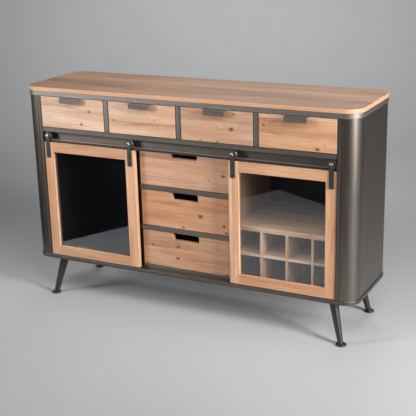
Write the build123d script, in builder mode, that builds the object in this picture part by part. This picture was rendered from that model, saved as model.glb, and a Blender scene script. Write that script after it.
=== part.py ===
from build123d import *
from math import sqrt
import os

# Sideboard with four top drawers, three middle drawers and two glazed doors that roll along a track.
# Millimetres. X runs along the front, Y from the front to the back, Z up. The origin is on the floor,
# at the middle of the overall width and depth (the pull tabs are the foremost points).

# ---------------------------------------------------------------- driving dimensions
width = 1400                  # over the top board
board_depth = 390             # top board, front to back
height = 890                  # floor to the top surface
corner_radius = 62            # plan radius of the board, band and tray
board_thickness = 16
overhang = 3                  # board, band and tray stand this far outside the carcass
band_height = 18
tray_height = 14
leg_height = 172              # floor to the underside of the tray
sheet = 2                     # sheet steel
lining = 1.2                  # thinner sheet of the back and the inner side walls
panel = 12                    # deck under the top drawers
door_gap = 1                  # gap beside a door
drawer_gap = 1.5              # gap around a top drawer front
middle_gap = 2                # gap above and below a middle drawer front
soft_edge = 1.2               # rounding of the wooden front edges

drawer_bay = 294.5            # opening of one top drawer
divider_width = 21
drawer_opening = 126.5        # height of the top drawer openings
front_thickness = 18
drawer_travel_depth = 330     # length of the drawer boxes

post_width = 16.5
post_depth = 26
rail_depth = 20
mid_rail_height = 19.5

track_drop = 31               # underside of the middle rail to the top edge of the track
track_height = 10
track_thickness = 4
track_setback = 7.5           # face frame to the front of the track
header_setback = 30           # face frame to the header panel and the middle drawers' frame

door_width = 418
door_thickness = 20
door_setback = 3
stile_width = 40
glass_thickness = 4
glass_setback = 13
pocket_lap = 8                # glass held this far inside the frame

middle_half = 194             # half the clear width between the two partitions
partition = 15
middle_front_half = 192
middle_front_height = 143.5
middle_pitch = 165.5
middle_lowest = 12.5          # floor of the carcass to the lowest drawer front
notch_width = 114
notch_depth = 28.5
notch_radius = 5

pull_width = 86
pull_reach = 22
pull_drop = 20.5
pull_sheet = 1.8

strap_width = 17.5
strap_thickness = 3
strap_inset = 18.5            # door edge to the strap's centre line
strap_above = 40
strap_below = 63
wheel_radius = 16             # over the flanges
groove_radius = 13.5          # running surface
wheel_width = 11
flange_width = 3
axle_radius = 4
running_clearance = 0.05      # radial, wheel on axle
roll_gap = 0.3                # wheel above the track

rack_setback = 50
rack_board = 9
rack_level_height = 105       # floor of the carcass to the underside of the level
shelf_thickness = 12
rack_top_thickness = 8
shelf_level = 410

foot_x = 637                  # centre of a foot, from the middle
leg_lean = 43                 # a leg's head is this much further in
front_foot = 30               # face frame to the front feet
front_lean = 27
rear_foot = 367
rear_lean = 25
foot_radius = 19.5
foot_thickness = 7
ankle_radius = 10
leg_head_radius = 18

# ---------------------------------------------------------------- levels and planes worked out from them
front = pull_reach - (board_depth - overhang + pull_reach) / 2   # Y of the face frame
carcass_depth = board_depth - 2 * overhang
floor_level = leg_height + tray_height
board_bottom = height - board_thickness
band_bottom = board_bottom - band_height
rail_top = band_bottom - drawer_opening
pull_top = band_bottom - 0.5
rail_bottom = rail_top - mid_rail_height
track_top = rail_bottom - track_drop
track_bottom = track_top - track_height
door_top = track_bottom - 2
door_bottom = floor_level + 1.5
header_bottom = track_bottom - 1
deck_top = rail_top - 6.5
deck_bottom = deck_top - panel
opening_half = 2 * drawer_bay + 1.5 * divider_width
lining_half = opening_half - 2.5
back_inner = carcass_depth - lining
wheel_level = track_top + groove_radius + roll_gap
wheel_front = track_setback + track_thickness / 2 - wheel_width / 2


def behind(distance):
    """Y at a distance behind the face frame."""
    return front + distance


def facing_front(distance):
    """Sketch plane parallel to the front, with local axes X and Z; a negative extrusion goes back."""
    return Plane.XZ.offset(-behind(distance))


def middle(span):
    return (span[0] + span[1]) / 2


def length(span):
    return span[1] - span[0]


def block(x_span, depth_span, z_span, mode=Mode.ADD):
    """Rectangular block in the active part; depths are measured behind the face frame."""
    with BuildSketch(Plane.XY.offset(z_span[0])) as base:
        with Locations((middle(x_span), behind(middle(depth_span)))):
            Rectangle(length(x_span), length(depth_span))
    extrude(base.sketch, amount=length(z_span), mode=mode)


def rod(x, z, radius, depth_span, mode=Mode.ADD):
    """Round bar along Y in the active part."""
    with BuildSketch(facing_front(depth_span[0])) as disc:
        with Locations((x, z)):
            Circle(radius)
    extrude(disc.sketch, amount=-length(depth_span), mode=mode)


def rounded_outline(inset, mode=Mode.ADD):
    """The body's rounded plan, set in from the top board's edge, for the active sketch."""
    with Locations((0, behind(board_depth / 2 - overhang))):
        RectangleRounded(width - 2 * inset, board_depth - 2 * inset, corner_radius - inset, mode=mode)


def mirrored(x_span):
    """The two spans that a span on the right makes on the right and on the left."""
    return (x_span, (-x_span[1], -x_span[0]))


def on_side(side, x_span):
    """A span given for the right side, taken to the side asked for (-1 left, 1 right)."""
    return x_span if side > 0 else (-x_span[1], -x_span[0])


def save(builder, name):
    builder.part.label = name
    export_step(builder.part, f"parts/{name}.step")


os.makedirs("parts", exist_ok=True)

# ---------------------------------------------------------------- top board, band and tray
with BuildPart() as top_board:
    with BuildSketch(Plane.XY.offset(board_bottom)):
        rounded_outline(0)
    extrude(amount=board_thickness)
    fillet(top_board.edges().group_by(Axis.Z)[-1], 2.5)
    fillet(top_board.edges().group_by(Axis.Z)[0], 1.5)
save(top_board, "top_board")

with BuildPart() as top_band:
    with BuildSketch(Plane.XY.offset(band_bottom)):
        rounded_outline(0.5)
        rounded_outline(overhang + rail_depth, mode=Mode.SUBTRACT)
    extrude(amount=band_height)
    fillet(top_band.edges().filter_by_position(Axis.Z, band_bottom - 1, band_bottom + 1), 1)
save(top_band, "top_band")

with BuildPart() as bottom_tray:
    with BuildSketch(Plane.XY.offset(leg_height)):
        rounded_outline(0)
    extrude(amount=tray_height)
    fillet(bottom_tray.edges().group_by(Axis.Z)[-1], 2)
    with BuildSketch(Plane.XY.offset(leg_height)):
        rounded_outline(sheet)
    extrude(amount=tray_height - sheet, mode=Mode.SUBTRACT)
save(bottom_tray, "bottom_tray")

# ---------------------------------------------------------------- sheet sides and back
post_outer = opening_half + post_width
for side, name in ((-1, "left_side_panel"), (1, "right_side_panel")):
    with BuildPart() as side_panel:
        with BuildSketch(Plane.XY.offset(floor_level)):
            rounded_outline(overhang)
            rounded_outline(overhang + sheet, mode=Mode.SUBTRACT)
            with Locations((side * (post_outer + 0.5 + width / 4), behind(carcass_depth / 2))):
                Rectangle(width / 2, width, mode=Mode.INTERSECT)
        extrude(amount=band_bottom - floor_level)
    save(side_panel, name)

with BuildPart() as back_panel:
    block((-post_outer, post_outer), (back_inner, carcass_depth), (floor_level, band_bottom))
save(back_panel, "back_panel")

# ---------------------------------------------------------------- face frame
with BuildPart() as front_posts:
    for x_span in mirrored((opening_half, post_outer)):
        block(x_span, (0, post_depth), (floor_level, band_bottom))
    fillet(front_posts.edges().filter_by(Axis.Z).group_by(Axis.Y)[0], 1.5)
save(front_posts, "front_posts")

with BuildPart() as mid_rail:
    block((-opening_half, opening_half), (0, rail_depth), (rail_bottom, rail_top))
    fillet(mid_rail.edges().filter_by(Axis.X).group_by(Axis.Y)[0], 1.5)
save(mid_rail, "mid_rail")

bay_pitch = drawer_bay + divider_width
with BuildPart() as drawer_dividers:
    for x in (-bay_pitch, 0, bay_pitch):
        block((x - divider_width / 2, x + divider_width / 2), (0, rail_depth), (rail_top, band_bottom))
    fillet(drawer_dividers.edges().filter_by(Axis.Z).group_by(Axis.Y)[0], 1.5)
save(drawer_dividers, "drawer_dividers")

# ---------------------------------------------------------------- header and door track
bolt_level = track_bottom + 3.5
bolt_places = [(x, bolt_level) for x in (-560, -310, 0, 310, 560)]

with BuildPart() as header_panel:
    block((-lining_half, lining_half), (header_setback, header_setback + sheet), (header_bottom, deck_bottom))
save(header_panel, "header_panel")

track_end = opening_half - 0.5
with BuildPart() as track_rail:
    block((-track_end, track_end), (track_setback, track_setback + track_thickness), (track_bottom, track_top))
    with BuildSketch(facing_front(track_setback)):
        with Locations(*bolt_places):
            Circle(2.05)
    extrude(amount=-track_thickness, mode=Mode.SUBTRACT)
save(track_rail, "track_rail")

with BuildPart() as track_bolts:
    for x, z in bolt_places:
        rod(x, z, 2, (track_setback, header_setback))
        rod(x, z, 3, (track_setback + track_thickness, header_setback))
save(track_bolts, "track_bolts")

# ---------------------------------------------------------------- inner walls, deck and partitions
for side, name in ((-1, "left_inner_panel"), (1, "right_inner_panel")):
    with BuildPart() as inner_panel:
        x_span = on_side(side, (lining_half, lining_half + lining))
        block(x_span, (post_depth, back_inner), (floor_level, band_bottom))
    save(inner_panel, name)

with BuildPart() as drawer_deck:
    block((-lining_half, lining_half), (rail_depth, back_inner), (deck_bottom, deck_top))
save(drawer_deck, "drawer_deck")

partition_outer = middle_half + partition
for side, name in ((-1, "left_partition"), (1, "right_partition")):
    with BuildPart() as partition_board:
        x_span = on_side(side, (middle_half, partition_outer))
        block(x_span, (header_setback + 3, back_inner), (floor_level, deck_bottom))
    save(partition_board, name)

# ---------------------------------------------------------------- frame of the middle drawers
lowest_front = floor_level + middle_lowest
front_levels = [lowest_front + middle_pitch * row for row in range(3)]

with BuildPart() as middle_frame:
    for x_span in mirrored((middle_half, partition_outer)):
        block(x_span, (header_setback, header_setback + 3), (floor_level, header_bottom))
    block((-middle_half, middle_half), (header_setback, header_setback + partition),
          (floor_level, lowest_front - middle_gap))
    for level in front_levels[1:]:
        below = level - middle_pitch + middle_front_height
        block((-middle_half, middle_half), (header_setback, header_setback + partition),
              (below + middle_gap, level - middle_gap))
    fillet(middle_frame.edges().filter_by(Axis.X).group_by(Axis.Y)[0], 1)
save(middle_frame, "middle_frame")

# ---------------------------------------------------------------- drawer runners
box_lift = 3.5                # drawer front's lower edge to the box
runner_width = 14
middle_box_half = 189
middle_box_lift = 12
middle_box_start = header_setback + sheet + front_thickness
box_half = 135

with BuildPart() as drawer_runners:
    for bay in range(4):
        centre = (bay - 1.5) * bay_pitch
        for edge in (-1, 1):
            inner = centre + edge * (box_half - runner_width)
            outer = centre + edge * box_half
            block((min(inner, outer), max(inner, outer)), (rail_depth, rail_depth + drawer_travel_depth),
                  (deck_top, rail_top + box_lift - 0.5))
    for level in front_levels:
        for x_span in mirrored((middle_half - runner_width, middle_half)):
            block(x_span, (middle_box_start, middle_box_start + drawer_travel_depth),
                  (level + 1, level + middle_box_lift - 0.5))
save(drawer_runners, "drawer_runners")

# ---------------------------------------------------------------- right compartment: shelf and bottle rack
rack_top_bottom = shelf_level - shelf_thickness - rack_top_thickness
rack_depth = (rack_setback, back_inner)
rack_span = (partition_outer, lining_half)
level_span = (floor_level + rack_level_height, floor_level + rack_level_height + rack_board)
cell_pitch = length(rack_span) / 4
divider_centres = [rack_span[0] + cell_pitch * column for column in (1, 2, 3)]
lap = 0.2                     # play in the crossed half-lap joints

with BuildPart() as rack_shelf:
    block(rack_span, (rack_setback - 2, back_inner), (shelf_level - shelf_thickness, shelf_level))
    fillet(rack_shelf.edges().filter_by(Axis.X).group_by(Axis.Y)[0], 1.5)
save(rack_shelf, "rack_shelf")

with BuildPart() as rack_top:
    block(rack_span, rack_depth, (rack_top_bottom, rack_top_bottom + rack_top_thickness))
    fillet(rack_top.edges().filter_by(Axis.X).group_by(Axis.Y)[0], 1)
save(rack_top, "rack_top")

with BuildPart() as rack_dividers:
    for x in divider_centres:
        block((x - rack_board / 2, x + rack_board / 2), rack_depth, (floor_level, rack_top_bottom))
    slot_z = (level_span[0] - lap, level_span[1] + lap)
    block(rack_span, (middle(rack_depth), back_inner), slot_z, mode=Mode.SUBTRACT)
save(rack_dividers, "rack_dividers")

with BuildPart() as rack_level:
    block(rack_span, rack_depth, level_span)
    for x in divider_centres:
        slot_x = (x - rack_board / 2 - lap, x + rack_board / 2 + lap)
        block(slot_x, (rack_setback, middle(rack_depth) + lap), level_span, mode=Mode.SUBTRACT)
save(rack_level, "rack_level")


# ---------------------------------------------------------------- drawers
def drawer_box(centre, half, start, bottom, box_height):
    """Sides, back and bottom of a drawer box, open above and closed in front by the drawer front."""
    wall = 12
    base = 6
    with BuildPart() as box:
        end = start + drawer_travel_depth
        block((centre - half, centre + half), (start, end), (bottom, bottom + box_height))
        block((centre - half + wall, centre + half - wall), (start, end - wall),
              (bottom + base, bottom + box_height), mode=Mode.SUBTRACT)
    return box


def top_drawer_front(centre):
    """Plain board; the pull lies on its top edge."""
    half = drawer_bay / 2 - drawer_gap
    with BuildPart() as board:
        block((centre - half, centre + half), (0, front_thickness),
              (rail_top + drawer_gap, pull_top - pull_sheet))
        fillet(board.edges().group_by(Axis.Y)[0], soft_edge)
    return board


def drawer_pull(centre):
    """Sheet folded over the top edge of the drawer front, with two rounded lower corners."""
    x_span = (centre - pull_width / 2, centre + pull_width / 2)
    with BuildPart() as pull:
        block(x_span, (-pull_reach, front_thickness - 4.5), (pull_top - pull_sheet, pull_top))
        block(x_span, (-pull_reach, pull_sheet - pull_reach), (pull_top - pull_drop, pull_top))
        lower = pull.edges().filter_by(Axis.Y).group_by(Axis.Z)[0]
        fillet(lower, 6)
        bend = pull.edges().filter_by(Axis.X).group_by(Axis.Y)[0].sort_by(Axis.Z)[-1]
        fillet(bend, 1.5)
    return pull


for bay in range(4):
    bay_centre = (bay - 1.5) * bay_pitch
    save(top_drawer_front(bay_centre), f"drawer_{bay + 1}_front")
    save(drawer_box(bay_centre, box_half, front_thickness, rail_top + box_lift, 100), f"drawer_{bay + 1}_box")
    save(drawer_pull(bay_centre), f"drawer_{bay + 1}_pull")


def middle_drawer_front(level):
    """Board with a hand notch in its top edge; the top one is lower, so that it passes under the track."""
    start = header_setback + sheet
    top = min(level + middle_front_height, door_top)
    notch_span = (level + middle_front_height - notch_depth, top)
    with BuildPart() as board:
        block((-middle_front_half, middle_front_half), (start, start + front_thickness), (level, top))
        with BuildSketch(facing_front(start)) as notch:
            with Locations((0, middle(notch_span))):
                Rectangle(notch_width, length(notch_span))
            fillet(notch.vertices().group_by(Axis.Z)[0], notch_radius)
        extrude(amount=-front_thickness, mode=Mode.SUBTRACT)
        fillet(board.edges().group_by(Axis.Y)[0], soft_edge)
    return board


for row, level in enumerate(front_levels):
    drawer_name = f"middle_drawer_{3 - row}"
    save(middle_drawer_front(level), f"{drawer_name}_front")
    save(drawer_box(0, middle_box_half, middle_box_start, level + middle_box_lift, 95), f"{drawer_name}_box")

# ---------------------------------------------------------------- doors
door_outer = opening_half - door_gap
door_inner = door_outer - door_width
door_back = door_setback + door_thickness
screw_levels = (door_top - strap_below + 10, door_top - strap_below + 44)
strap_places = (door_inner + strap_inset, door_outer - strap_inset)


def cut_glass_pocket(side):
    """Rebate behind the frame's inner edges, open to the back, that the glass lies in."""
    x_span = on_side(side, (door_inner + stile_width - pocket_lap, door_outer - stile_width + pocket_lap))
    z_span = (door_bottom + stile_width - pocket_lap, door_top - stile_width + pocket_lap)
    block(x_span, (glass_setback, door_back), z_span, mode=Mode.SUBTRACT)


def door_stiles(side):
    """The two full-height members, drilled for the strap screws."""
    with BuildPart() as stiles:
        for x_span in ((door_inner, door_inner + stile_width), (door_outer - stile_width, door_outer)):
            block(on_side(side, x_span), (door_setback, door_back), (door_bottom, door_top))
        fillet(stiles.edges().group_by(Axis.Y)[0], soft_edge)
        cut_glass_pocket(side)
        for x in strap_places:
            for z in screw_levels:
                rod(side * x, z, 2.05, (door_setback, door_setback + 16), mode=Mode.SUBTRACT)
    return stiles


def door_rails(side):
    """The two cross members, between the stiles."""
    x_span = on_side(side, (door_inner + stile_width, door_outer - stile_width))
    with BuildPart() as rails:
        for z_span in ((door_bottom, door_bottom + stile_width), (door_top - stile_width, door_top)):
            block(x_span, (door_setback, door_back), z_span)
        fillet(rails.edges().filter_by(Axis.X).group_by(Axis.Y)[0], soft_edge)
        cut_glass_pocket(side)
    return rails


def door_glass(side):
    x_span = on_side(side, (door_inner + stile_width - pocket_lap + 0.5,
                            door_outer - stile_width + pocket_lap - 0.5))
    z_span = (door_bottom + stile_width - pocket_lap + 0.5, door_top - stile_width + pocket_lap - 0.5)
    with BuildPart() as pane:
        block(x_span, (glass_setback, glass_setback + glass_thickness), z_span)
    return pane


def door_straps(side):
    """Two flat hangers screwed to the door, each with a hole for the wheel's axle."""
    strap_height = strap_above + strap_below
    with BuildPart() as straps:
        with BuildSketch(facing_front(door_setback - strap_thickness)):
            with Locations(*[(side * x, door_top - strap_below + strap_height / 2) for x in strap_places]):
                RectangleRounded(strap_width, strap_height, 2.5)
            with Locations(*[(side * x, wheel_level) for x in strap_places]):
                Circle(axle_radius + running_clearance, mode=Mode.SUBTRACT)
            with Locations(*[(side * x, z) for x in strap_places for z in screw_levels]):
                Circle(2.05, mode=Mode.SUBTRACT)
        extrude(amount=-strap_thickness)
    return straps


def door_bolts(side):
    """Two wheel axles with a domed head, a washer and an end collar, and four strap screws."""
    strap_front = door_setback - strap_thickness
    wheel_back = wheel_front + wheel_width
    with BuildPart() as bolts:
        for x in strap_places:
            rod(side * x, wheel_level, axle_radius, (strap_front - 1.5, wheel_back + 3))
            rod(side * x, wheel_level, 7, (strap_front - 1.5, strap_front))
            rod(side * x, wheel_level, 6, (strap_front - 6.5, strap_front - 1.5))
            rod(side * x, wheel_level, 6, (wheel_back + 0.5, wheel_back + 3))
            for z in screw_levels:
                rod(side * x, z, 2, (strap_front - 1.8, door_setback + 16))
                rod(side * x, z, 3.6, (strap_front - 1.8, strap_front))
        heads = bolts.faces().filter_by(Plane.XZ).group_by(Axis.Y)[0]
        fillet(heads.edges(), 3)
    return bolts


def door_wheel(x):
    """Grooved wheel that runs on the track's top edge."""
    with BuildPart() as wheel:
        for radius, start, thickness in (
            (wheel_radius, wheel_front, flange_width),
            (groove_radius, wheel_front + flange_width, wheel_width - 2 * flange_width),
            (wheel_radius, wheel_front + wheel_width - flange_width, flange_width),
        ):
            rod(x, wheel_level, radius, (start, start + thickness))
        rims = wheel.edges().filter_by(GeomType.CIRCLE).group_by(Axis.Y)
        chamfer(rims[0] + rims[-1], 0.8)
        rod(x, wheel_level, axle_radius + running_clearance, (wheel_front, wheel_front + wheel_width),
            mode=Mode.SUBTRACT)
    return wheel


for side, name in ((-1, "left_door"), (1, "right_door")):
    save(door_stiles(side), f"{name}_stiles")
    save(door_rails(side), f"{name}_rails")
    save(door_glass(side), f"{name}_glass")
    save(door_straps(side), f"{name}_straps")
    save(door_bolts(side), f"{name}_bolts")
    save(door_wheel(side * strap_places[0]), f"{name}_inner_wheel")
    save(door_wheel(side * strap_places[1]), f"{name}_outer_wheel")

# ---------------------------------------------------------------- legs and feet
leg_head_level = leg_height + tray_height - sheet
leg_places = {
    "front_left_leg": (-1, front_foot, front_lean),
    "front_right_leg": (1, front_foot, front_lean),
    "rear_left_leg": (-1, rear_foot, -rear_lean),
    "rear_right_leg": (1, rear_foot, -rear_lean),
}

for name, (side, foot_depth, lean) in leg_places.items():
    foot = Vector(side * foot_x, behind(foot_depth), 0)
    head = Vector(side * (foot_x - leg_lean), behind(foot_depth + lean), leg_height)
    axis = (head - foot).normalized()
    run = 40                  # spare length at each end, cut off level
    taper = (leg_head_radius - ankle_radius) / (head - foot).length
    with BuildPart(Plane(origin=foot - axis * run, z_dir=axis)) as leg:
        Cone(ankle_radius - taper * run, leg_head_radius + taper * run, (head - foot).length + 2 * run,
             align=(Align.CENTER, Align.CENTER, Align.MIN))
        split(bisect_by=Plane.XY.offset(foot_thickness), keep=Keep.TOP)
        split(bisect_by=Plane.XY.offset(leg_head_level), keep=Keep.BOTTOM)
    save(leg, name)

with BuildPart() as feet:
    for side, foot_depth, lean in leg_places.values():
        with BuildSketch(Plane.XY):
            with Locations((side * foot_x, behind(foot_depth))):
                Circle(foot_radius)
        extrude(amount=foot_thickness)
    fillet(feet.edges().filter_by(GeomType.CIRCLE).group_by(Axis.Z)[-1], 2.5)
    fillet(feet.edges().filter_by(GeomType.CIRCLE).group_by(Axis.Z)[0], 1)
save(feet, "feet")
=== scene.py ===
import math

import bpy
from mathutils import Matrix, Vector


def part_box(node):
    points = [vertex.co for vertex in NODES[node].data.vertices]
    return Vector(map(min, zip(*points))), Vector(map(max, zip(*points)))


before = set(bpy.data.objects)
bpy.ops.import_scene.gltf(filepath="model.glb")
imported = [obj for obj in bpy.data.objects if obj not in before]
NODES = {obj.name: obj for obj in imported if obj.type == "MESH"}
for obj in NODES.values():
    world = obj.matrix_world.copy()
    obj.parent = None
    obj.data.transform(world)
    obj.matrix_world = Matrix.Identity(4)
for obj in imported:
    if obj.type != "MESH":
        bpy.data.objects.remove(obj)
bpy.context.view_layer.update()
MM = 0.001


# ---------------------------------------------------------------- shader building blocks
class Shader:
    """A node material with short helpers; every helper returns an output socket."""

    def __init__(self, name):
        self.material = bpy.data.materials.new(name)
        self.material.use_nodes = True
        self.tree = self.material.node_tree
        self.tree.nodes.clear()
        self.surface = self.tree.nodes.new("ShaderNodeBsdfPrincipled")
        self.output = self.tree.nodes.new("ShaderNodeOutputMaterial")
        self.tree.links.new(self.surface.outputs["BSDF"], self.output.inputs["Surface"])

    def feed(self, socket, value):
        if isinstance(value, bpy.types.NodeSocket):
            self.tree.links.new(value, socket)
        else:
            socket.default_value = value

    def set(self, **values):
        for name, value in values.items():
            self.feed(self.surface.inputs[name.replace("_", " ")], value)

    def position(self, scale=(1, 1, 1), offset=(0, 0, 0), turn=(0, 0, 0)):
        """Position on the object in metres, moved, turned and then scaled."""
        source = self.tree.nodes.new("ShaderNodeTexCoord").outputs["Object"]
        mapping = self.tree.nodes.new("ShaderNodeMapping")
        mapping.vector_type = "POINT"
        self.feed(mapping.inputs["Vector"], source)
        mapping.inputs["Location"].default_value = offset
        mapping.inputs["Rotation"].default_value = turn
        mapping.inputs["Scale"].default_value = scale
        return mapping.outputs["Vector"]

    def noise(self, vector, scale=1.0, detail=3.0, roughness=0.5, distortion=0.0):
        node = self.tree.nodes.new("ShaderNodeTexNoise")
        self.feed(node.inputs["Vector"], vector)
        node.inputs["Scale"].default_value = scale
        node.inputs["Detail"].default_value = detail
        node.inputs["Roughness"].default_value = roughness
        node.inputs["Distortion"].default_value = distortion
        return node.outputs["Fac"]

    def cells(self, vector):
        """Distance to the nearest point of a scattered pattern, and that point's random colour."""
        node = self.tree.nodes.new("ShaderNodeTexVoronoi")
        self.feed(node.inputs["Vector"], vector)
        node.inputs["Scale"].default_value = 1.0
        return node.outputs["Distance"], node.outputs["Color"]

    def random(self, value):
        """A random number that is steady while the value is."""
        node = self.tree.nodes.new("ShaderNodeTexWhiteNoise")
        node.noise_dimensions = "1D"
        self.feed(node.inputs["W"], value)
        return node.outputs["Value"]

    def math(self, operation, a, b=0.0, c=0.0, clamp=False):
        node = self.tree.nodes.new("ShaderNodeMath")
        node.operation = operation
        node.use_clamp = clamp
        for socket, value in zip(node.inputs, (a, b, c)):
            self.feed(socket, value)
        return node.outputs[0]

    def split(self, vector):
        node = self.tree.nodes.new("ShaderNodeSeparateXYZ")
        self.feed(node.inputs[0], vector)
        return node.outputs

    def join(self, x, y, z):
        node = self.tree.nodes.new("ShaderNodeCombineXYZ")
        for socket, value in zip(node.inputs, (x, y, z)):
            self.feed(socket, value)
        return node.outputs[0]

    def ramp(self, value, stops, smooth=False):
        """Colour ramp; stops are (position, colour or grey)."""
        node = self.tree.nodes.new("ShaderNodeValToRGB")
        node.color_ramp.interpolation = "EASE" if smooth else "LINEAR"
        self.feed(node.inputs["Fac"], value)
        elements = node.color_ramp.elements
        while len(elements) < len(stops):
            elements.new(0.5)
        for element, (place, colour) in zip(elements, stops):
            element.position = place
            element.color = (*colour, 1) if isinstance(colour, tuple) else (colour, colour, colour, 1)
        return node.outputs["Color"]

    def mix(self, factor, a, b):
        node = self.tree.nodes.new("ShaderNodeMix")
        node.data_type = "RGBA"
        self.feed(node.inputs["Factor"], factor)
        for socket, value in ((node.inputs["A"], a), (node.inputs["B"], b)):
            self.feed(socket, (*value, 1) if isinstance(value, tuple) and len(value) == 3 else value)
        return node.outputs["Result"]

    def bump(self, height, strength, distance):
        node = self.tree.nodes.new("ShaderNodeBump")
        node.inputs["Strength"].default_value = strength
        node.inputs["Distance"].default_value = distance
        self.feed(node.inputs["Height"], height)
        return node.outputs["Normal"]

    def surface_normal(self):
        return self.tree.nodes.new("ShaderNodeNewGeometry").outputs["Normal"]

    def rounded_normal(self, radius):
        """Normal as if every edge of the mesh were rounded."""
        bevel = self.tree.nodes.new("ShaderNodeBevel")
        bevel.samples = 4
        bevel.inputs["Radius"].default_value = radius
        return bevel.outputs["Normal"]

    def flatness(self, radius):
        """1 on flat stretches, less near the edges of the mesh."""
        node = self.tree.nodes.new("ShaderNodeVectorMath")
        node.operation = "DOT_PRODUCT"
        self.feed(node.inputs[0], self.rounded_normal(radius))
        self.feed(node.inputs[1], self.surface_normal())
        return node.outputs["Value"]


GRAIN_TURNS = {"x": (0, 0, 0), "z": (0, math.pi / 2, 0)}
PALE_EDGE_WIDTH = 0.0016      # width of the pale edges, in metres: worn edges, and on wood also a painted highlight


def times(colour, factor):
    """A colour scaled by one factor, or by one for each channel; never brighter than 1."""
    factors = factor if isinstance(factor, tuple) else (factor,) * 3
    return tuple(min(1.0, c * f) for c, f in zip(colour, factors))


def local_knots(node, places, lying=False):
    """Knots in the node's own space, from (x, rise, radius) in mm.

    x is from the middle; the rise is above the lower edge, or behind the front edge of a lying board.
    """
    low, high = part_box(node)
    to_local = NODES[node].matrix_world.inverted()
    knots = []
    for x, rise, radius in places:
        place = Vector(((low.x + high.x) / 2 + x * MM, low.y, high.z if lying else low.z))
        place[1 if lying else 2] += rise * MM
        knots.append((to_local @ place, radius * MM))
    return knots


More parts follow.
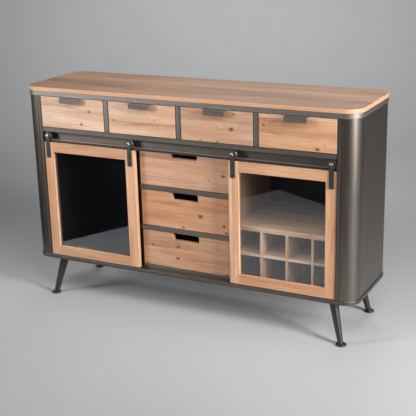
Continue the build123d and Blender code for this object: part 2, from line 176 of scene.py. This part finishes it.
def wood(name, pale, mid, dark, grain="x", seed=0.0, board=0.07, across="z", scatter=0.0, knots=(),
         gloss=0.42, depth=1.0, board_contrast=0.10, rings=0.13, lit_edges=0.35, stain=0.4, streak=0.9,
         side_colour=None):
    """Glued softwood boards: streaks and growth rings along the grain, knots, stains and paler edges, wear
    with a painted highlight.

    board is a board's width in metres, across is the axis that the boards follow each other along, scatter
    is how many knots appear by chance, and side_colour covers the faces that do not look up or down.
    """
    s = Shader(name)
    # local frame: u along the grain, v across the boards, w into the surface
    plain = s.position(turn=GRAIN_TURNS[grain])
    u, v, w = s.split(plain)
    if (grain, across) in (("x", "z"), ("z", "x")):
        v, w = w, v
    boards = s.math("DIVIDE", s.math("ADD", v, seed * 0.013), board)
    board_random = s.random(s.math("ADD", s.math("FLOOR", boards), seed * 7.3))
    shift = s.math("ADD", s.math("MULTIPLY", board_random, 40.0), seed * 5.1)

    def stretched(along, over, deep, detail, roughness=0.55, distortion=0.0):
        place = s.join(s.math("ADD", s.math("MULTIPLY", u, along), shift), s.math("MULTIPLY", v, over),
                       s.math("MULTIPLY", w, deep))
        return s.noise(place, 1.0, detail, roughness, distortion)

    # knots: the given ones, and others scattered as the sparse cells of a stretched pattern
    near_knot = 0.0
    pull = 0.0
    for place, radius in knots:
        side, up = place.x, (place.y if across == "y" else place.z)
        along = s.math("DIVIDE", s.math("SUBTRACT", u, side), radius * 1.5)
        over = s.math("DIVIDE", s.math("SUBTRACT", v, up), radius)
        wobble = s.math("MULTIPLY", s.noise(plain, 0.6 / radius, 2.0), 1.1)
        away = s.math("SQRT", s.math("ADD", s.math("MULTIPLY", along, along), s.math("MULTIPLY", over, over)))
        away = s.math("ADD", away, s.math("SUBTRACT", wobble, 0.55))
        near_knot = s.math("ADD", near_knot, s.math("SUBTRACT", 1.0, s.math("DIVIDE", away, 3.0), clamp=True))
        pull = s.math("ADD", pull, s.math("EXPONENT", s.math("MULTIPLY", away, -0.32)))
    if scatter:
        place = s.join(s.math("ADD", s.math("MULTIPLY", u, 3.4), shift), s.math("MULTIPLY", v, 12.0),
                       s.math("MULTIPLY", w, 2.0))
        distance, random_colour = s.cells(place)
        kept = s.math("LESS_THAN", s.split(random_colour)[0], 0.16 * scatter)
        found = s.math("SUBTRACT", 1.0, s.math("DIVIDE", distance, 0.30), clamp=True)
        near_knot = s.math("ADD", near_knot, s.math("MULTIPLY", kept, found))
        pull = s.math("ADD", pull, s.math("MULTIPLY", kept, s.math("POWER", found, 1.5)))

    # growth rings, bent by slow noise and closing round the knots
    slow = stretched(1.3, 8.0, 3.0, 2.0)
    drift = stretched(6.0, 34.0, 10.0, 4.0, 0.6)
    ring_v = s.math("ADD", s.math("MULTIPLY", v, 70.0), s.math("MULTIPLY", slow, 13.0))
    ring_v = s.math("ADD", ring_v, s.math("MULTIPLY", drift, 1.6))
    ring_v = s.math("ADD", ring_v, s.math("MULTIPLY", pull, 3.4))
    ring_v = s.math("ADD", ring_v, s.math("MULTIPLY", w, 25.0))
    latewood = s.ramp(s.math("FRACT", s.math("ADD", ring_v, shift)),
                      [(0.0, 0.05), (0.45, 0.2), (0.80, 0.8), (0.90, 1.0), (1.0, 0.05)], smooth=True)
    # streaks of several widths, fibres and slow clouds
    wide = stretched(2.2, 26.0, 9.0, 4.0, 0.55, 0.4)
    narrow = stretched(5.5, 130.0, 60.0, 4.0, 0.6)
    fibre = stretched(16.0, 620.0, 620.0, 4.0, 0.6)
    cloud = stretched(1.8, 5.0, 3.0, 2.0)
    tone = s.math("MULTIPLY", s.math("SUBTRACT", wide, 0.5), streak)
    for part, weight in ((narrow, 0.40), (fibre, 0.30), (cloud, 0.85), (board_random, board_contrast)):
        tone = s.math("ADD", tone, s.math("MULTIPLY", s.math("SUBTRACT", part, 0.5), weight))
    tone = s.math("ADD", tone, s.math("MULTIPLY", s.math("SUBTRACT", latewood, 0.4), rings))
    tone = s.math("ADD", tone, 0.5)
    colour = s.ramp(tone, [(0.20, pale), (0.50, mid), (0.85, dark)])
    reddish = times(mid, (0.80, 0.58, 0.44))
    brown = times(dark, (0.36, 0.26, 0.22))
    patch = s.ramp(stretched(1.6, 15.0, 5.0, 3.0, 0.6, 0.6), [(0.54, 0.0), (0.72, stain)], smooth=True)
    colour = s.mix(patch, colour, reddish)
    # knots: a reddish halo round a dark core
    if knots or scatter:
        near_knot = s.math("ADD", near_knot, 0.0, clamp=True)
        colour = s.mix(s.ramp(near_knot, [(0.34, 0.0), (0.62, 0.60), (1.0, 0.85)]), colour, reddish)
        colour = s.mix(s.ramp(near_knot, [(0.62, 0.0), (0.74, 0.72), (1.0, 0.95)]), colour, brown)
    # glue lines between the boards
    from_middle = s.math("ABSOLUTE", s.math("SUBTRACT", s.math("FRACT", boards), 0.5))
    glue = s.ramp(from_middle, [(0.488, 0.0), (0.4995, 0.42)])
    colour = s.mix(glue, colour, times(dark, 0.62))
    # arrises painted pale: worn edges together with a painted highlight along the lit edges
    pale_edges = s.math("ADD", s.flatness(PALE_EDGE_WIDTH), s.math("MULTIPLY", narrow, 0.12))
    colour = s.mix(s.ramp(pale_edges, [(0.86, lit_edges), (1.04, 0.0)]), colour, times(pale, 1.18))
    if side_colour:
        up = s.split(s.surface_normal())[2]
        side = s.ramp(s.math("ABSOLUTE", up), [(0.3, 0.75), (0.85, 0.0)])
        colour = s.mix(side, colour, side_colour)
    s.set(Base_Color=colour, Coat_Weight=0.08, Coat_Roughness=0.35, IOR=1.48)
    roughness = s.math("ADD", gloss, s.math("MULTIPLY", s.math("SUBTRACT", fibre, 0.5), 0.16))
    s.set(Roughness=s.math("ADD", roughness, s.math("MULTIPLY", latewood, -0.06)))
    relief = s.math("ADD", s.math("MULTIPLY", fibre, 0.5), s.math("MULTIPLY", latewood, 0.3))
    relief = s.math("SUBTRACT", relief, s.math("MULTIPLY", glue, 0.9))
    s.set(Normal=s.bump(relief, 0.35 * depth, 0.0004))
    return s.material


def coated_steel(name, base, worn, brush="z", roughness=0.42, metallic=0.92, streaks=0.35, seed=0.0,
                 grime=0.35, bright_top=0.0, dark_beyond=None, back_colour=None, dark_edge=0.0):
    """Bronze-toned coat over sheet steel: drawn streaks, cloudy patina, worn edges and fine speckle.

    bright_top paints the upward faces pale, a painted highlight along the top with some wear where the wheels
    roll, dark_beyond paints what is further than that from the middle nearly black as painted shade,
    back_colour goes on the face turned to the back, and dark_edge is the width of a painted shade along the
    edges, for the gaps' shadow.
    """
    s = Shader(name)
    stretch = {"x": (6, 260, 260), "z": (260, 260, 6)}[brush]
    lines = s.noise(s.position(stretch, (seed, seed, seed)), 1.0, 4.0, 0.6)
    cloud = s.noise(s.position((5, 5, 3.5), (seed, 0, seed)), 1.0, 4.0, 0.55)
    speck = s.noise(s.position((900, 900, 900)), 1.0, 2.0, 0.5)
    patina = s.ramp(cloud, [(0.32, 0.0), (0.70, 1.0)], smooth=True)
    mottle = s.noise(s.position((170, 170, 110), (seed, 0, 0)), 1.0, 3.0, 0.6)
    mottle = s.ramp(mottle, [(0.38, 0.0), (0.66, 1.0)])
    drawn = s.ramp(lines, [(0.40, 0.0), (0.72, 1.0)])
    colour = s.mix(s.math("MULTIPLY", patina, grime), base, times(base, 0.62))
    colour = s.mix(s.math("MULTIPLY", mottle, 0.30), colour, times(base, 1.45))
    colour = s.mix(s.math("MULTIPLY", drawn, streaks), colour, worn)
    pale_edges = s.math("ADD", s.flatness(PALE_EDGE_WIDTH), s.math("MULTIPLY", cloud, 0.10))
    colour = s.mix(s.ramp(pale_edges, [(0.90, 0.55), (1.02, 0.0)]), colour, worn)
    if dark_edge:
        # painted shade: the edges are darkened almost to black, standing in for the shadow in the gaps
        # between the parts
        painted_gap_shade = s.ramp(s.flatness(dark_edge), [(0.93, 0.92), (0.998, 0.0)])
        colour = s.mix(painted_gap_shade, colour, (0.014, 0.012, 0.011))
    if bright_top:
        # painted highlight: the upward faces and the tops of the rounded edges are painted pale for the light
        # along the top, with some wear where the wheels roll
        up = s.split(s.rounded_normal(0.003))[2]
        colour = s.mix(s.math("MULTIPLY", up, bright_top, clamp=True), colour, (0.62, 0.59, 0.55))
    if dark_beyond is not None:
        # painted shade: what lies beyond that distance from the middle is painted nearly black, for the deep
        # shadow in the gaps beside the doors
        away = s.math("ABSOLUTE", s.split(s.position())[0])
        colour = s.mix(s.math("GREATER_THAN", away, dark_beyond), colour, (0.012, 0.012, 0.013))
    if back_colour is not None:
        back = s.split(s.surface_normal())[1]
        colour = s.mix(s.math("GREATER_THAN", back, 0.5), colour, back_colour)
    s.set(Base_Color=colour, Metallic=metallic, IOR=1.5, Coat_Weight=0.15, Coat_Roughness=0.4)
    rough = s.math("ADD", roughness, s.math("MULTIPLY", s.math("SUBTRACT", lines, 0.5), 0.22))
    s.set(Roughness=s.math("ADD", rough, s.math("MULTIPLY", s.math("SUBTRACT", cloud, 0.5), 0.14)))
    relief = s.math("ADD", s.math("MULTIPLY", lines, 0.6), s.math("MULTIPLY", speck, 0.4))
    s.set(Normal=s.bump(relief, 0.18, 0.00025))
    return s.material


def bare_steel(name, base, dark, roughness=0.32, seed=0.0, screws_below=None):
    """Turned or forged steel: fine scratches, dark hollows and bright worn edges."""
    s = Shader(name)
    scratches = s.noise(s.position((420, 420, 60), (seed, seed, 0)), 1.0, 4.0, 0.65)
    stain = s.noise(s.position((95, 95, 95), (seed, 0, 0)), 1.0, 3.0, 0.6)
    colour = s.mix(s.ramp(stain, [(0.40, 0.0), (0.68, 1.0)]), base, dark)
    wear = s.ramp(s.flatness(0.0009), [(0.82, 0.8), (0.99, 0.0)])
    colour = s.mix(wear, colour, times(base, 1.7))
    if screws_below is not None:
        level = s.split(s.position())[2]
        colour = s.mix(s.math("LESS_THAN", level, screws_below), colour, times(base, 0.30))
    s.set(Base_Color=colour, Metallic=0.92)
    s.set(Roughness=s.math("ADD", roughness, s.math("MULTIPLY", s.math("SUBTRACT", scratches, 0.5), 0.30)))
    s.set(Normal=s.bump(s.math("ADD", scratches, s.math("MULTIPLY", stain, 0.6)), 0.22, 0.0002))
    return s.material


def clear_glass(name):
    """Float glass with a trace of dust."""
    s = Shader(name)
    dust = s.noise(s.position((14, 14, 9)), 1.0, 5.0, 0.6)
    s.set(Base_Color=s.mix(s.ramp(dust, [(0.35, 0.0), (0.75, 0.5)]), (0.93, 0.96, 0.96), (0.86, 0.90, 0.91)))
    s.set(IOR=1.85, Transmission_Weight=1.0, Specular_Tint=(0.89, 0.94, 1.0, 1))
    s.set(Roughness=s.ramp(dust, [(0.4, 0.0), (0.8, 0.05)]))
    # a thin pane lets the lamps' light straight through
    path = s.tree.nodes.new("ShaderNodeLightPath")
    clear = s.tree.nodes.new("ShaderNodeBsdfTransparent")
    clear.inputs["Color"].default_value = (0.60, 0.60, 0.60, 1)
    mixer = s.tree.nodes.new("ShaderNodeMixShader")
    s.feed(mixer.inputs["Fac"], path.outputs["Is Shadow Ray"])
    s.feed(mixer.inputs[1], s.surface.outputs["BSDF"])
    s.feed(mixer.inputs[2], clear.outputs["BSDF"])
    s.feed(s.output.inputs["Surface"], mixer.outputs["Shader"])
    return s.material


# ---------------------------------------------------------------- materials
FRONT = dict(pale=(0.63, 0.425, 0.285), mid=(0.51, 0.30, 0.178), dark=(0.33, 0.155, 0.075))
DOOR = dict(pale=(0.64, 0.405, 0.265), mid=(0.53, 0.295, 0.172), dark=(0.37, 0.172, 0.088))
# the door rails' wood is the doors' wood made about 0.92 as bright: painted shade for the rails, which take
# less light than the stiles
RAIL = dict(pale=(0.595, 0.373, 0.242), mid=(0.49, 0.27, 0.156), dark=(0.34, 0.156, 0.08))
TOP = dict(pale=(0.48, 0.275, 0.16), mid=(0.375, 0.195, 0.108), dark=(0.19, 0.09, 0.046))
INNER = dict(pale=(0.59, 0.395, 0.275), mid=(0.49, 0.30, 0.19), dark=(0.33, 0.18, 0.10))
# the partitions' wood is the inner wood made about 0.57 as bright: painted shade for the dim walls inside the
# compartments
PARTITION = dict(pale=(0.34, 0.21, 0.137), mid=(0.27, 0.153, 0.094), dark=(0.19, 0.10, 0.056))
PLY = dict(pale=(0.66, 0.52, 0.37), mid=(0.57, 0.42, 0.28), dark=(0.46, 0.31, 0.19))

BRONZE = (0.205, 0.175, 0.152)
frame_steel = coated_steel("frame_steel", BRONZE, (0.26, 0.225, 0.20), "x")
rail_steel = coated_steel("rail_steel", BRONZE, (0.26, 0.225, 0.20), "x", seed=13.0, dark_edge=0.007)
# the tray's coat is the frame's bronze made darker: painted shade for the dim, low front of the body
tray_steel = coated_steel("tray_steel", (0.12, 0.102, 0.09), (0.20, 0.175, 0.155), "x", seed=14.0)
side_steel = coated_steel("side_steel", (0.155, 0.130, 0.112), (0.27, 0.235, 0.21), "z", 0.36, 0.95, 0.30,
                          seed=4.0)
# the track's top is painted pale: a painted highlight, with some wear where the wheels roll
track_steel = coated_steel("track_steel", (0.075, 0.066, 0.058), (0.15, 0.135, 0.12), "x", seed=3.0,
                           bright_top=1.6)
# the posts' coat is the frame's bronze made darker: painted shade for the posts beside the doors
post_steel = coated_steel("post_steel", (0.135, 0.118, 0.098), (0.20, 0.175, 0.15), "z", seed=1.0,
                          dark_edge=0.006)
# the dividers' coat is the frame's bronze made paler: painted highlight where the lamps above reflect
divider_steel = coated_steel("divider_steel", (0.24, 0.21, 0.19), (0.30, 0.262, 0.235), "z", seed=7.0,
                             dark_edge=0.007)
# the band's coat is the frame's bronze made paler: painted highlight where the lamps above reflect
band_steel = coated_steel("band_steel", (0.22, 0.196, 0.18), (0.28, 0.25, 0.23), "x", 0.5, seed=12.0)
# the middle frame's outer strips are painted nearly black as painted shade
middle_steel = coated_steel("middle_steel", BRONZE, (0.26, 0.225, 0.20), "x", seed=5.0, dark_beyond=0.1935)
dark_steel = coated_steel("dark_steel", (0.020, 0.020, 0.023), (0.05, 0.05, 0.055), "z", 0.5, 0.5, 0.25, 6.0,
                          back_colour=(0.17, 0.148, 0.13))
leg_steel = coated_steel("leg_steel", (0.05, 0.043, 0.037), (0.14, 0.12, 0.104), "z", 0.40, 0.8, 0.3, 8.0)
pull_steel = coated_steel("pull_steel", (0.11, 0.092, 0.080), (0.24, 0.205, 0.18), "x", 0.5, 0.6, 0.3, 9.0)
strap_steel = coated_steel("strap_steel", (0.085, 0.084, 0.083), (0.30, 0.29, 0.28), "z", 0.40, 0.9, 0.40,
                            seed=11.0, grime=0.8)
BELOW_AXLES = 0.67      # height between the door straps' screws and the wheel axles
screw_level = (NODES["left_door_bolts"].matrix_world.inverted() @ Vector((0, 0, BELOW_AXLES))).z
bolt_steel = bare_steel("bolt_steel", (0.60, 0.58, 0.55), (0.24, 0.23, 0.22), 0.28, screws_below=screw_level)
wheel_steel = bare_steel("wheel_steel", (0.30, 0.29, 0.28), (0.12, 0.115, 0.11), 0.34, 3.0)
glass = clear_glass("glass")
door_stile_wood = wood("door_stile_wood", **DOOR, grain="z", across="x", seed=1.3, board=0.2, scatter=0.3)
door_rail_wood = wood("door_rail_wood", **RAIL, grain="x", seed=5.2, board=0.2, scatter=0.3)
# knots of the top board as (from the middle, behind the front edge, radius) in mm; the places of
# most knots, here and on the fronts, are results of a separate camera calculation
TOP_KNOTS = ((-263, 96, 4.5), (602, 326, 6), (639, 135, 5.5), (14, 335, 5), (-610, 300, 3.5), (290, 60, 3))
top_wood = wood("top_wood", **TOP, grain="x", across="y", seed=2.9, board=0.065, gloss=0.46,
                knots=local_knots("top_board", TOP_KNOTS, lying=True), board_contrast=0.18, rings=0.12,
                lit_edges=0.6, stain=0.25, side_colour=(0.52, 0.295, 0.172), streak=0.8)
partition_wood = wood("partition_wood", **PARTITION, grain="z", across="y", seed=9.4, board=0.12, scatter=0.4,
                      gloss=0.6)
inner_wood_z = wood("inner_wood_z", **INNER, grain="z", across="y", seed=3.7, board=0.12, scatter=0.4,
                    gloss=0.6)
inner_wood_x = wood("inner_wood_x", **INNER, grain="x", across="y", seed=6.1, board=0.12, scatter=0.3,
                    gloss=0.6)
box_wood = wood("box_wood", **PLY, grain="x", across="z", seed=4.4, board=0.5, gloss=0.6)


def paint(material, *nodes):
    for node in nodes:
        mesh = NODES[node].data
        mesh.materials.clear()
        mesh.materials.append(material)


paint(track_steel, "track_rail")
paint(middle_steel, "middle_frame")
paint(band_steel, "top_band")
paint(post_steel, "front_posts")
paint(divider_steel, "drawer_dividers")
paint(frame_steel, "header_panel")
paint(rail_steel, "mid_rail")
paint(tray_steel, "bottom_tray")
paint(side_steel, "left_side_panel", "right_side_panel")
paint(dark_steel, "back_panel", "left_inner_panel", "right_inner_panel", "track_bolts")
paint(leg_steel, "front_left_leg", "front_right_leg", "rear_left_leg", "rear_right_leg", "feet")
paint(partition_wood, "left_partition", "right_partition")
paint(inner_wood_z, "rack_dividers")
paint(inner_wood_x, "rack_shelf", "rack_top", "rack_level", "drawer_deck")
paint(box_wood, "drawer_runners")
paint(top_wood, "top_board")
# each front: colour factors, which carry the board's own tone and painted light (drawer_1's pale, bluish
# factors are a painted glare; drawer_4's and the middle drawers' darker, more saturated factors are painted
# shade), and its knots as (from the middle, above the lower edge, radius) in mm
FRONTS = {
    "drawer_1": ((1.10, 1.24, 1.47), ((80, 74, 4.5), (41, 22, 4.5), (-24, 90, 1.5))),
    "drawer_2": ((0.95, 0.97, 1.07), ((-124, 51, 3.0), (58, 64, 2.0))),
    "drawer_3": ((0.82, 0.82, 0.88), ((73, 111, 3.0), (60, 55, 6.0), (3, 4, 3.0), (-66, 5, 2.5))),
    "drawer_4": ((0.9, 0.84, 0.8), ((-127, 81, 3.5), (75, 10, 5.0), (-124, 105, 1.8))),
    "middle_drawer_1": ((0.88, 0.84, 0.905), ((166, 66, 5.0), (-60, 43, 1.6), (108, 44, 2.2))),
    "middle_drawer_2": ((0.865, 0.75, 0.68), ((66, 62, 6.0), (-8, 9, 4.0), (166, 35, 4.5), (176, 9, 4.0))),
    "middle_drawer_3": ((0.81, 0.76, 0.755),
                        ((-149, 85, 4.0), (-36, 91, 5.0), (-39, 42, 5.0), (174, 5, 3.5))),
}
for index, (drawer, (tone_and_painted_light, places)) in enumerate(FRONTS.items()):
    shades = {key: times(colour, tone_and_painted_light) for key, colour in FRONT.items()}
    front = f"{drawer}_front"
    has_pull = f"{drawer}_pull" in NODES
    front_wood = wood(f"{drawer}_wood", **shades, seed=1.1 + 2.7 * index, board=0.064 if has_pull else 0.072,
                      knots=local_knots(front, places), depth=1.1)
    paint(front_wood, front)
    paint(box_wood, f"{drawer}_box")
    if has_pull:
        paint(pull_steel, f"{drawer}_pull")
for door in ("left_door", "right_door"):
    paint(door_stile_wood, f"{door}_stiles")
    paint(door_rail_wood, f"{door}_rails")
    paint(glass, f"{door}_glass")
    paint(strap_steel, f"{door}_straps")
    paint(bolt_steel, f"{door}_bolts")
    paint(wheel_steel, f"{door}_inner_wheel", f"{door}_outer_wheel")


# ---------------------------------------------------------------- stage, camera and light
front_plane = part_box("mid_rail")[0].y
# the camera's turn, place and lens are results of a separate fit
CAMERA_YAW, CAMERA_PITCH, CAMERA_ROLL = 0.4764, -0.3062, -0.0259
SHEET_FRONT, SHEET_LEFT = -1.415, -1.13     # near edges of the floor sheet, which the panes mirror
SHEET_STEP = 1.5        # behind this the sheet is as wide as the wall
WALL_HALF, WALL_HEIGHT = 6.5, 6.0
BEND_START, BEND_RADIUS, BEND_STEPS = 2.6, 1.4, 16


def stage_material(name, colour, roughness):
    s = Shader(name)
    cloud = s.noise(s.position((0.9, 0.9, 0.9)), 1.0, 3.0, 0.5)
    s.set(Base_Color=s.ramp(cloud, [(0.3, times(colour, 0.96)), (0.7, colour)]), Roughness=roughness)
    return s.material


def add_backdrop():
    """A pale floor sheet, square to the view, that sweeps up into a wall well behind the object."""
    profile = [(SHEET_FRONT, 0.0), (SHEET_STEP, 0.0), (SHEET_STEP + 0.001, 0.0), (BEND_START, 0.0)]
    for step in range(1, BEND_STEPS + 1):
        angle = math.radians(90 * step / BEND_STEPS)
        profile.append((BEND_START + BEND_RADIUS * math.sin(angle), BEND_RADIUS * (1 - math.cos(angle))))
    profile.append((BEND_START + BEND_RADIUS, WALL_HEIGHT))
    mesh = bpy.data.meshes.new("backdrop")
    points = []
    for y, z in profile:
        left = SHEET_LEFT if y <= SHEET_STEP else -WALL_HALF
        points += [(left, y, z), (WALL_HALF, y, z)]
    faces = [(2 * i, 2 * i + 1, 2 * i + 3, 2 * i + 2) for i in range(len(profile) - 1)]
    mesh.from_pydata(points, [], faces)
    mesh.polygons.foreach_set("use_smooth", [True] * len(mesh.polygons))
    mesh.materials.append(stage_material("backdrop", (0.435, 0.44, 0.445), 0.6))
    backdrop = bpy.data.objects.new("backdrop", mesh)
    bpy.context.scene.collection.objects.link(backdrop)
    backdrop.location = (0, front_plane, 0)
    backdrop.rotation_euler = (0, 0, CAMERA_YAW)


def add_camera():
    data = bpy.data.cameras.new("camera")
    data.lens = 82.15
    data.sensor_width = 36
    camera = bpy.data.objects.new("camera", data)
    bpy.context.scene.collection.objects.link(camera)
    turn = Matrix.Rotation(CAMERA_YAW, 3, "Z")
    turn = turn @ Matrix.Rotation(math.pi / 2 + CAMERA_PITCH, 3, "X") @ Matrix.Rotation(CAMERA_ROLL, 3, "Z")
    camera.matrix_world = Matrix.Translation((1.6725, front_plane - 3.0159, 1.5493)) @ turn.to_4x4()
    bpy.context.scene.camera = camera


def add_light(name, place, target, size, power, spread):
    data = bpy.data.lights.new(name, "AREA")
    data.shape = "RECTANGLE"
    data.size, data.size_y = size
    data.energy = power
    data.spread = math.radians(spread)
    light = bpy.data.objects.new(name, data)
    bpy.context.scene.collection.objects.link(light)
    light.location = place
    light.visible_camera = False
    light.rotation_euler = (Vector(target) - Vector(place)).to_track_quat("-Z", "Y").to_euler()


add_backdrop()
add_camera()
# name, place, target, size in metres, power in watts, spread in degrees
for light in (
    ("key_left", (-2.3, -2.0, 1.45), (-0.1, -0.15, 1.0), (0.7, 0.8), 18, 85),
    ("front_right", (1.35, -1.8, 2.65), (0.2, 0, 0.7), (0.9, 0.9), 20.5, 150),
    ("top_left", (-0.9, -2.0, 2.6), (0, 0, 0.7), (0.9, 0.9), 12, 150),
    ("key_right", (3.0, -0.9, 1.4), (0.65, 0, 0.75), (0.8, 1.4), 46, 90),
    ("back_fill", (-0.4, 2.2, 3.0), (0.0, 0.1, 0.5), (1.6, 0.8), 11, 120),
    ("wall", (-0.4, 1.5, 3.5), (-1.0, 4.0, 1.1), (3.4, 1.0), 41, 120),
):
    add_light(*light)

world = bpy.data.worlds.new("world")
world.use_nodes = True
world.node_tree.nodes["Background"].inputs["Color"].default_value = (0.014, 0.015, 0.018, 1)
world.node_tree.nodes["Background"].inputs["Strength"].default_value = 1.0
bpy.context.scene.world = world
bpy.context.scene.view_settings.view_transform = "Standard"
